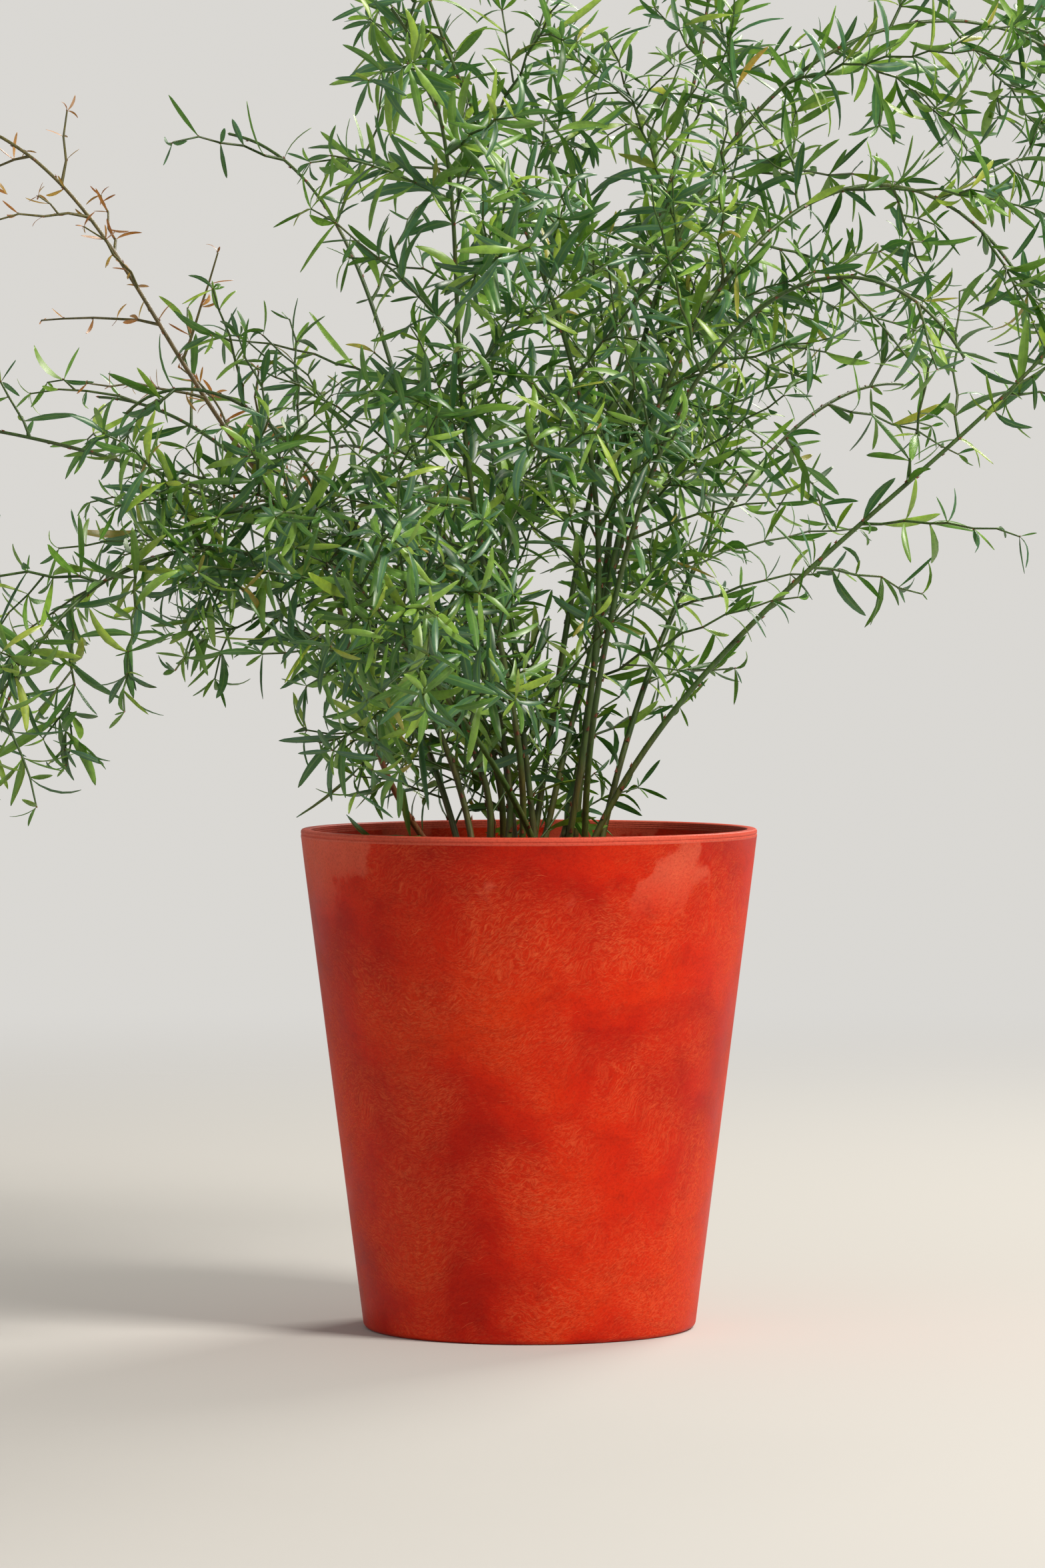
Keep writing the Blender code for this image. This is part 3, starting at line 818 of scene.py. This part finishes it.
def stem_skeleton(number, name, values, ripeness):
    """The object that holds a stem's skeleton. Its ripeness is how brown its foot is."""
    root, towards, length, lean, sway, bare, reach, fewest, most, twigs, every, _, low_sprigs = values
    path = stem_path([share / 100 for share in root], towards, length / 1000, lean, sway)
    rng = random.Random(1000 + number)
    skeleton = Skeleton()
    spots = branch_places(number, path.length, bare, reach / 1000)[::every]
    points, girths, buds, vigours, ripe, scales = [], [], [], [], [], []
    taken = {round(distance / path.length * stem_steps) for distance, _, _ in spots}
    for k in range(stem_steps + 1):
        t = k / stem_steps
        distance = t * path.length
        points.append(path.at(distance))
        flare = 1 + (stem_flare - 1) * max(0, 1 - distance / flare_height)
        girths.append((stem_base_radius + (stem_tip_radius - stem_base_radius) * t) * flare)
        buds.append(rng.randint(1, 2) if k in taken else 0)
        vigours.append(0.95)
        ripe.append(max(0.0, min(1.0, ripeness - t * 1.4 + rng.uniform(-0.08, 0.08))))
        before = distance - path.length / stem_steps
        passed = int(distance / scale_spacing) != int(before / scale_spacing)
        scales.append(scale_length - scale_loss * t if k and passed or k in taken else 0.0)
    skeleton.line(points, girths, buds, vigours, ripe, scales)
    for distance, roll, branch_reach in spots:
        add_branch(
            skeleton, rng, branch_path(path, distance, roll, branch_reach),
            branch_radius, fewest, most, rng.randint(0, twigs),
        )
    for k in range(low_sprigs):
        distance = path.length * bare * (0.30 + 0.65 * k / low_sprigs)
        add_branch(
            skeleton, rng, branch_path(path, distance, k * roll_step, rng.uniform(*sprig_reach)),
            branch_tip_radius * 1.3, fewest, most, 1,
        )
    mesh = skeleton.mesh(name)
    obj = bpy.data.objects.new(name, mesh)
    bpy.context.scene.collection.objects.link(obj)
    return obj


def cladode(number, arch, sickle, twist, width, fold, length):
    """One flat blade, a unit long up its own Z: narrow at the foot, widest before the middle, pointed."""
    bm = bmesh.new()
    stations = (0.0, 0.07, 0.20, 0.40, 0.60, 0.78, 0.92, 1.0)
    spot, heading, rings = Vector((0, 0, 0)), Vector((0, 0, 1)), []
    uv = {}
    for k, t in enumerate(stations):
        tilt, bend = math.radians(arch * t), math.radians(sickle * (t - 0.35))
        heading = Vector((math.sin(tilt), math.sin(bend), math.cos(tilt) * math.cos(bend))).normalized()
        if k:
            spot = spot + heading * (t - stations[k - 1])
        swell = math.sin(math.pi * min(t, 0.985) ** 0.92) ** 0.60
        half = width / 2 * (0.12 + 0.88 * swell * min(1, 0.22 + t * 2.6)) * (0.35 if t == 1 else 1)
        across = Matrix.Rotation(math.radians(twist * t), 3, heading) @ Vector((0, 1, 0))
        face = across.cross(heading).normalized()
        thick = 0.006 + half * 0.10
        ring = []
        edge, back = face * half * fold, -face * thick
        rib = face * thick * 0.4
        for u, offset in ((0.0, edge - across * half), (0.5, rib), (1.0, edge + across * half), (0.5, back)):
            v = bm.verts.new(spot + offset)
            uv[v] = (u, t)
            ring.append(v)
        rings.append(ring)
    layer = bm.loops.layers.uv.new("blade")
    faces = []
    for lower, upper in zip(rings, rings[1:]):
        for k in range(4):
            faces.append(bm.faces.new((lower[k], lower[(k + 1) % 4], upper[(k + 1) % 4], upper[k])))
    faces.append(bm.faces.new(reversed(rings[0])))
    faces.append(bm.faces.new(rings[-1]))
    for f in faces:
        f.smooth = True
        for loop in f.loops:
            loop[layer].uv = uv[loop.vert]
    for lower, upper in zip(rings, rings[1:]):
        for k in (0, 2):
            bm.edges.get((lower[k], upper[k])).smooth = False
    face_outward(bm)
    bmesh.ops.scale(bm, vec=(length, length, length), verts=bm.verts)
    return as_object(f"cladode_{number}", bm)


def stem_scale():
    """One brown scale, a unit long up its own Z: a broad foot that hugs the stem, and a spur."""
    bm = bmesh.new()
    foot = ((0.0, -0.42, 0.0), (0.25, 0.0, -0.1), (0.0, 0.42, 0.0), (-0.25, 0.0, 0.1))
    belly = ((0.12, -0.22, 0.5), (0.30, 0.0, 0.45), (0.12, 0.22, 0.5), (-0.02, 0.0, 0.5))
    foot, belly = [bm.verts.new(p) for p in foot], [bm.verts.new(p) for p in belly]
    tip = bm.verts.new((0.34, 0.0, 1.0))
    bm.faces.new(foot)
    for k in range(4):
        bm.faces.new((foot[k], foot[(k + 1) % 4], belly[(k + 1) % 4], belly[k]))
        bm.faces.new((belly[k], belly[(k + 1) % 4], tip))
    face_outward(bm)
    return as_object("stem_scale", bm)


def frond_tree():
    """A node tree that grows a frond on its skeleton: round stems, and bunches of cladodes at the joints."""
    tree, given, out = node_group(
        "frond", "GeometryNodeTree",
        {
            "Skeleton": "Geometry", "Blades": "Collection", "Blade length": "Float", "Least lift": "Float",
            "Most lift": "Float", "Seed": "Int", "Stem material": "Material", "Blade material": "Material",
            "Scale": "Object",
        },
        {"Frond": "Geometry"},
    )

    def named(label, kind="FLOAT"):
        return made(tree, "GeometryNodeInputNamedAttribute", {"Name": label}, data_type=kind)

    def stored(geometry, label, value, kind, domain="POINT"):
        values = {"Geometry": geometry, "Name": label, "Value": value}
        return made(tree, "GeometryNodeStoreNamedAttribute", values, data_type=kind, domain=domain)

    def turned_by(rotation, x, y, z):
        """A rotation, turned on about its own axes."""
        turn = made(tree, "ShaderNodeCombineXYZ", {0: x, 1: y, 2: z})
        turn = made(tree, "FunctionNodeEulerToRotation", {0: turn})
        turns = {0: rotation, 1: turn}
        return made(tree, "FunctionNodeRotateRotation", turns, rotation_space="LOCAL")

    def rolled(low, high, salt):
        seed = made(tree, "ShaderNodeMath", {0: given["Seed"], 1: float(salt)}, operation="ADD")
        return place(tree, "FunctionNodeRandomValue", {2: low, 3: high, "Seed": seed}).outputs[1]

    lines = made(tree, "GeometryNodeMeshToCurve", {0: given["Skeleton"]})
    circle = made(tree, "GeometryNodeCurvePrimitiveCircle", {"Resolution": 7, "Radius": 1.0})
    tube = made(
        tree, "GeometryNodeCurveToMesh",
        {"Curve": lines, "Profile Curve": circle, "Fill Caps": True, "Scale": named("girth")},
    )
    tube = made(tree, "GeometryNodeSetShadeSmooth", {0: tube})
    tube = with_finish(tree, tube, given["Stem material"])

    joints = place(tree, "GeometryNodeCurveToPoints", {0: lines}, mode="EVALUATED")
    turned = stored(joints.outputs["Points"], "turned", joints.outputs["Rotation"], "QUATERNION")
    index = made(tree, "GeometryNodeInputIndex")

    # a scale at each joint, round the stem from the last one, on its surface
    spiral = times(tree, index, math.radians(roll_step))
    spiral = turned_by(named("turned", "QUATERNION"), 0.0, 0.0, spiral)
    outward = made(tree, "FunctionNodeRotateVector", {0: (1.0, 0.0, 0.0), 1: spiral})
    outward = made(tree, "ShaderNodeVectorMath", {0: outward, "Scale": named("girth")}, operation="SCALE")
    seats = made(tree, "GeometryNodeSetPosition", {"Geometry": turned, "Offset": outward})
    has_scale = made(tree, "FunctionNodeCompare", {0: named("scale"), 1: 0.0}, operation="GREATER_THAN")
    brown = place(tree, "GeometryNodeObjectInfo", {0: given["Scale"]}).outputs["Geometry"]
    scales = made(
        tree, "GeometryNodeInstanceOnPoints",
        {
            "Points": seats, "Selection": has_scale, "Instance": brown, "Rotation": spiral,
            "Scale": named("scale"),
        },
    )
    scales = stored(solid(tree, scales), "ripe", 1.6, "FLOAT")
    scales = with_finish(tree, scales, given["Stem material"])
    turned = stored(turned, "joint", index, "INT")
    bunch = place(
        tree, "GeometryNodeDuplicateElements", {"Geometry": turned, "Amount": named("buds", "INT")},
        domain="POINT",
    )
    points, sibling = bunch.outputs[0], bunch.outputs[1]

    # round the joint: the whole bunch turns on by the golden angle, and its blades fan out from there
    roll = times(tree, named("joint", "INT"), math.radians(roll_step))
    roll = plus(tree, roll, times(tree, sibling, math.radians(72)))
    roll = plus(tree, roll, rolled(-0.45, 0.45, 1))
    lift = place(
        tree, "FunctionNodeRandomValue",
        {2: given["Least lift"], 3: given["Most lift"], "Seed": given["Seed"]},
    ).outputs[1]
    facing = rolled(-0.7, 0.7, 2)
    rotation = named("turned", "QUATERNION")
    for turn in ((0.0, 0.0, roll), (0.0, lift, 0.0), (0.0, 0.0, facing)):
        rotation = turned_by(rotation, *turn)
    size = times(tree, rolled(0.62, 1.2, 3), named("vigour"))
    size = times(tree, size, given["Blade length"])
    leaves = planted(tree, points, members(tree, given["Blades"]), rotation, size)
    leaves = solid(tree, stored(leaves, "tint", rolled(0.0, 1.0, 4), "FLOAT", "INSTANCE"))
    leaves = with_finish(tree, leaves, given["Blade material"])
    tree.links.new(together(tree, leaves, scales, tube), out["Frond"])
    return tree


skin_outputs = {"Color": "Color", "Roughness": "Float", "Normal": "Vector"}


def stem_skin_effect():
    """A stem's skin: it ripens from green to brown in blotches, with darker streaks along it."""
    tree, given, out = node_group(
        "stem_skin", "ShaderNodeTree",
        {"Where": "Vector", "Ripe": "Float", "Green": "Color", "Brown": "Color"}, skin_outputs,
    )
    streak = made(tree, "ShaderNodeMapping", {"Vector": given["Where"], "Scale": (900, 900, 120)})
    streak = place(tree, "ShaderNodeTexNoise", {"Vector": streak, "Scale": 1.0, "Detail": 4.0}).outputs["Fac"]
    blotch = place(
        tree, "ShaderNodeTexNoise", {"Vector": given["Where"], "Scale": 60.0, "Detail": 3.0}
    ).outputs["Fac"]
    blotch = times(tree, calc(tree, "SUBTRACT", blotch, 0.5), 0.8)
    color = blend(tree, calc(tree, "ADD", given["Ripe"], blotch, clamp=True), given["Green"], given["Brown"])
    color = blend(tree, ramp(tree, streak, [(0.40, grey(0.45)), (0.58, grey(0))]), color, rgb(30, 44, 16))
    bump = made(tree, "ShaderNodeBump", {"Height": streak, "Strength": 0.5, "Distance": 0.0002})
    tree.links.new(color, out["Color"])
    tree.links.new(plus(tree, times(tree, streak, 0.3), 0.30), out["Roughness"])
    tree.links.new(bump, out["Normal"])
    return tree


def blade_skin_effect():
    """A blade's waxy skin over its own tint: mottled, with a paler midrib and foot, and fine veins."""
    tree, given, out = node_group(
        "blade_skin", "ShaderNodeTree",
        {
            "Where": "Vector", "Across": "Float", "Along": "Float", "Tint": "Color", "Dark": "Color",
            "Light": "Color",
        },
        skin_outputs,
    )
    mottle = place(
        tree, "ShaderNodeTexNoise",
        {"Vector": given["Where"], "Scale": 420.0, "Detail": 4.0, "Roughness": 0.6},
    ).outputs["Fac"]
    shade = ramp(tree, mottle, [(0.40, grey(0.30)), (0.58, grey(0))])
    color = blend(tree, shade, given["Tint"], given["Dark"])
    foot = ramp(tree, given["Along"], [(0.0, grey(0.55)), (0.16, grey(0))])
    color = blend(tree, foot, color, rgb(128, 150, 60))
    from_rib = calc(tree, "ABSOLUTE", calc(tree, "SUBTRACT", given["Across"], 0.5))
    rib = ramp(tree, from_rib, [(0.02, grey(0.45)), (0.09, grey(0))])
    color = blend(tree, rib, color, given["Light"])
    veins = calc(tree, "SINE", times(tree, given["Across"], math.tau * 5))
    relief = plus(tree, times(tree, veins, 0.05), times(tree, from_rib, 1.2))
    relief = plus(tree, relief, times(tree, mottle, 0.02))
    bump = made(tree, "ShaderNodeBump", {"Height": relief, "Strength": 0.18, "Distance": 0.0002})
    tree.links.new(color, out["Color"])
    tree.links.new(plus(tree, times(tree, mottle, 0.16), 0.29), out["Roughness"])
    tree.links.new(bump, out["Normal"])
    return tree


stem_skin, blade_skin = stem_skin_effect(), blade_skin_effect()


def wear_skin(tree, shader, skin):
    for label, socket in (("Color", "Base Color"), ("Roughness", "Roughness"), ("Normal", "Normal")):
        tree.links.new(skin[label], shader.inputs[socket])


def stem_material(name, green, brown):
    material, tree, shader, where = blank_material(name)
    ripe = place(tree, "ShaderNodeAttribute", attribute_name="ripe").outputs["Fac"]
    values = {"Where": where, "Ripe": ripe, "Green": green, "Brown": brown}
    wear_skin(tree, shader, with_effect(tree, stem_skin, values))
    return material


def blade_material(name, dark, light, glow, tints):
    """Waxy blades: each has a tint of its own, and lets some light through."""
    material, tree, shader, where = blank_material(name)
    uv = made(tree, "ShaderNodeUVMap", uv_map="blade")
    split = place(tree, "ShaderNodeSeparateXYZ", {0: uv}).outputs
    tint = place(tree, "ShaderNodeAttribute", attribute_name="tint").outputs["Fac"]
    values = {
        "Where": where, "Across": split["X"], "Along": split["Y"], "Tint": ramp(tree, tint, tints),
        "Dark": dark, "Light": light,
    }
    wear_skin(tree, shader, with_effect(tree, blade_skin, values))
    shader.inputs["Specular IOR Level"].default_value = 0.95
    through = made(tree, "ShaderNodeBsdfTranslucent", {"Color": glow})
    both = made(tree, "ShaderNodeMixShader", {0: 0.30, 1: shader.outputs[0], 2: through})
    tree.links.new(both, tree.nodes["Material Output"].inputs["Surface"])
    return material


# arch, sickle and twist in degrees, width and fold as shares of the length, and length
blades = bpy.data.collections.new("blades")
for k, shape in enumerate(
    (
        (26, 18, 10, 0.150, 0.25, 1.0), (44, -22, -18, 0.140, 0.15, 1.0), (12, 36, 22, 0.155, 0.30, 0.95),
        (60, 10, 8, 0.130, 0.20, 1.1), (-16, -30, -26, 0.160, 0.25, 0.9), (34, 52, 0, 0.145, 0.10, 1.0),
        (20, 4, 14, 0.125, 0.35, 1.15), (72, -40, -10, 0.135, 0.20, 1.0), (30, 10, 10, 0.300, 0.30, 0.42),
    )
):
    blades.objects.link(cladode(k, *shape))
grow = frond_tree()
green_stem = stem_material("green_stem", rgb(62, 90, 32), rgb(118, 60, 34))
# the blue-green stop in these tints is partly the blades' own waxy bloom and partly a painted reflection of a
# pale sky
green_blade = blade_material(
    "green_blade", rgb(30, 70, 34), rgb(150, 186, 84), rgb(150, 205, 48),
    [
        (0.0, rgb(38, 80, 40)), (0.24, rgb(78, 124, 92)), (0.44, rgb(80, 130, 48)),
        (0.64, rgb(114, 160, 56)), (0.85, rgb(150, 190, 68)), (0.98, rgb(178, 204, 68)),
        (1.0, rgb(190, 150, 62)),
    ],
)
young_stem = stem_material("young_stem", rgb(98, 92, 44), rgb(128, 78, 42))
young_blade = blade_material(
    "young_blade", rgb(140, 96, 48), rgb(214, 178, 96), rgb(232, 178, 84),
    [
        (0.0, rgb(166, 110, 48)), (0.4, rgb(206, 140, 62)), (0.7, rgb(176, 160, 66)),
        (0.9, rgb(226, 172, 112)), (1.0, rgb(240, 214, 190)),
    ],
)
brown_scale = stem_scale()

# how brown a stem's foot is, and how far a blade leans from its branch, in radians
brown_foot, green_foot = 1.2, 0.35
least_lift, most_lift = 0.45, 1.45
for number, (name, values) in enumerate(stems.items()):
    is_young, blade_length = name == "frond_left_young", values[11] / 1000
    ripeness = brown_foot if is_young or "red" in name else green_foot
    frond = stem_skeleton(number, name.replace("frond", "leafy_stem"), values, ripeness)
    run_tree(
        frond, grow,
        {
            "Blades": blades, "Scale": brown_scale, "Blade length": blade_length, "Seed": 50 + number,
            "Least lift": least_lift, "Most lift": most_lift,
            "Stem material": young_stem if is_young else green_stem,
            "Blade material": young_blade if is_young else green_blade,
        },
    )
    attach(frond, "root")
    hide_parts(name)
for used in [*blades.objects, brown_scale]:
    bpy.data.objects.remove(used)
